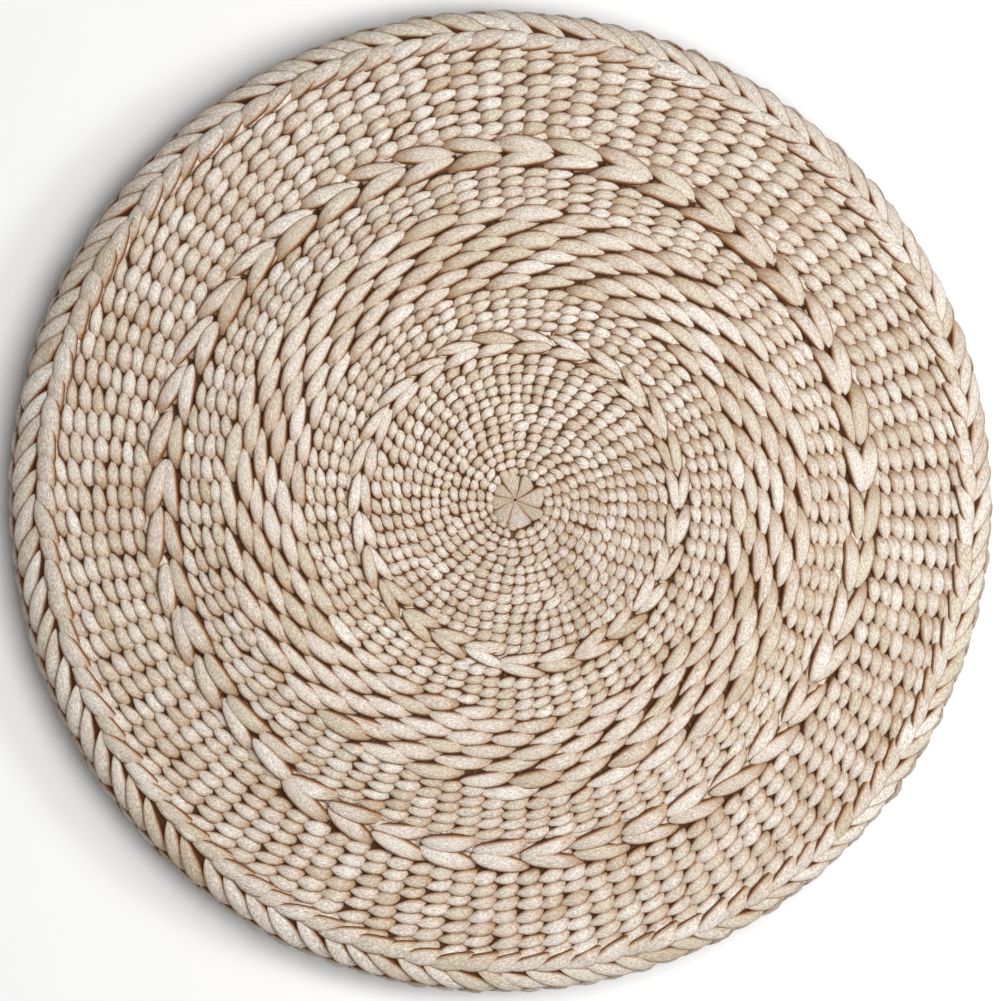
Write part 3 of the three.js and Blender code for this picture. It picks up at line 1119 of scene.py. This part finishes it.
class MAT_OT_star(bpy.types.Operator):
    """Lay the star of folded strips in the middle"""

    bl_idname = "mat.star"
    bl_label = "Centre star"

    def execute(self, context):
        rng = random_for(8)
        rings, sides = MESH["petal"]
        count = len(PETALS)
        column = {key: np.array([p[key] for p in PETALS], float)[:, None, None]
                  for key in PETALS[0]}
        step = np.linspace(0.0, 1.0, rings)[None, :, None]
        around = (np.arange(sides) / sides * TURN)[None, None, :]
        # A petal widens outwards from the middle and closes in a nearly square end.
        reach = STAR_RADIUS * column["length"]
        radial = PETAL_START + step * (reach - PETAL_START)
        square = (1 - np.clip(step, 0, 0.999) ** 8) ** 0.5
        half = radial * np.tan(np.radians(column["width"] / 2)) * PETAL_SPREAD * square
        half = np.maximum(half, 0.15)
        side = half * np.sign(np.cos(around)) * np.abs(np.cos(around)) ** 0.75
        up = PETAL_THICKNESS * np.sin(around) * square**0.6 + 0 * half
        # It is tilted over its neighbour, droops at both ends and curls at its tip.
        tilt = (0.1 + 0.14 * rng.random(count))[:, None, None] * side
        skew = (0.5 * rng.random(count) - 0.1)[:, None, None] * side * step**4
        droop = -1.1 * step**6 - 0.5 * (1 - step) ** 4
        lumps = 0.15 * np.sin(3 * step + rng.random(count)[:, None, None] * TURN)
        z = CROWN_TOP - PETAL_SINK + up + tilt + droop + lumps
        curl = 0.16 * (step - 0.6) + 0.1 * (rng.random(count) - 0.5)[:, None, None] * step
        angle = np.radians(column["angle"]) + curl
        radial = radial + skew
        x = STAR_OFFSET + STAR_SHIFT["x"] + radial * np.cos(angle) - side * np.sin(angle)
        y = STAR_SHIFT["y"] + radial * np.sin(angle) + side * np.cos(angle)
        points = np.stack([x, y + 0 * z, z], axis=-1)
        quads, ends = leaf_faces(count, rings, sides)
        offset = rng.random(count)[:, None, None] * 60
        strand = np.stack([radial + 0 * z, side + 0 * z, offset + 0 * z], axis=-1)
        # The rise and the tuck paint shade on the petals' lower sides and towards their inner
        # ends.
        rise = 0.55 + 0.45 * np.sin(around) + 0 * z
        tint = 0.5 + 0.24 * rng.normal(size=count)[:, None, None] + 0 * z
        numbers = {"strand": with_ends(strand), "rise": with_ends(rise),
                   "tuck": with_ends(0.35 * (1 - step) + 0 * z), "tint": with_ends(tint)}
        star = new_mesh_object("folded_star", with_ends(points), quads, ends, numbers)
        material = leaf_look("folded_strip", 0.82, 0.84, 1.0, 0.6, 1.2, 0.6)
        give(star, material)
        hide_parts("centre_star")
        return {"FINISHED"}


class MAT_OT_stage(bpy.types.Operator):
    """Set the pale floor, the soft light and the camera"""

    bl_idname = "mat.stage"
    bl_label = "Floor, light and camera"

    def execute(self, context):
        stage = context.scene.mat_stage
        corners = [(-1, -1, 0), (1, -1, 0), (1, 1, 0), (-1, 1, 0)]
        floor = new_mesh_object("floor", np.array(corners) * FLOOR_HALF / MM,
                                np.array([[0, 1, 2, 3]]), np.zeros((0, 3), int), {})
        material, _, surface = new_material("pale_floor")
        surface.inputs["Base Color"].default_value = (*[FLOOR_SHADE] * 3, 1.0)
        surface.inputs["Roughness"].default_value = 0.9
        floor.data.materials.append(material)

        world = bpy.data.worlds.new("studio")
        world.use_nodes = True
        sky = world.node_tree.nodes["Background"]
        sky.inputs["Color"].default_value = (1.0, 0.985, 0.96, 1.0)
        sky.inputs["Strength"].default_value = stage.sky
        context.scene.world = world

        target = Vector(AIM)
        lamps = [("key", KEY_LAMP, stage.key_power), ("top", TOP_LAMP, stage.top_power)]
        for name, lamp, power in lamps:
            light = bpy.data.lights.new(name, "AREA")
            light.energy = power
            light.size = lamp["size"]
            holder = bpy.data.objects.new(name, light)
            holder.location = lamp["place"]
            towards = target - Vector(lamp["place"])
            holder.rotation_euler = towards.to_track_quat("-Z", "Y").to_euler()
            context.scene.collection.objects.link(holder)

        data = bpy.data.cameras.new("camera")
        data.sensor_width = SENSOR_WIDTH
        data.lens = data.sensor_width * stage.distance / stage.view_width
        data.clip_end = 20.0
        camera = bpy.data.objects.new("camera", data)
        away = Vector((-math.sin(stage.lean), 0.0, math.cos(stage.lean)))
        camera.location = target + away * stage.distance
        camera.rotation_euler = (0.0, -stage.lean, 0.0)
        context.scene.collection.objects.link(camera)
        context.scene.camera = camera
        context.scene.view_settings.view_transform = "Standard"
        return {"FINISHED"}


class MAT_PT_panel(bpy.types.Panel):
    """The mat's sizes, colours and the buttons that lay its pieces."""

    bl_idname = "MAT_PT_panel"
    bl_label = "Meditation mat"
    bl_space_type = "VIEW_3D"
    bl_region_type = "UI"
    bl_category = "Mat"

    def draw(self, context):
        for group in ("mat_weave", "mat_colours", "mat_stage"):
            box = self.layout.box()
            settings = getattr(context.scene, group)
            for name in settings.__annotations__:
                box.prop(settings, name)
        for operator in OPERATORS:
            self.layout.operator(operator.bl_idname)


OPERATORS = (
    MAT_OT_stage,
    MAT_OT_core,
    MAT_OT_fields,
    MAT_OT_spokes,
    MAT_OT_long_stitches,
    MAT_OT_herringbone,
    MAT_OT_plait,
    MAT_OT_wall,
    MAT_OT_underside,
    MAT_OT_star,
)
SETTINGS = {"mat_weave": MatWeave, "mat_colours": MatColours, "mat_stage": MatStage}


def register():
    for group in (*SETTINGS.values(), *OPERATORS, MAT_PT_panel):
        bpy.utils.register_class(group)
    for name, group in SETTINGS.items():
        setattr(bpy.types.Scene, name, PointerProperty(type=group))


def unregister():
    for name in SETTINGS:
        delattr(bpy.types.Scene, name)
    for group in reversed((*SETTINGS.values(), *OPERATORS, MAT_PT_panel)):
        bpy.utils.unregister_class(group)


def main():
    """Lays the mat on its stage."""
    register()
    bpy.ops.mat.stage()
    bpy.ops.mat.core()
    bpy.ops.mat.fields()
    bpy.ops.mat.spokes()
    bpy.ops.mat.long_stitches()
    bpy.ops.mat.herringbone()
    bpy.ops.mat.plait()
    bpy.ops.mat.wall()
    bpy.ops.mat.underside()
    bpy.ops.mat.star()


if __name__ == "__main__":
    main()
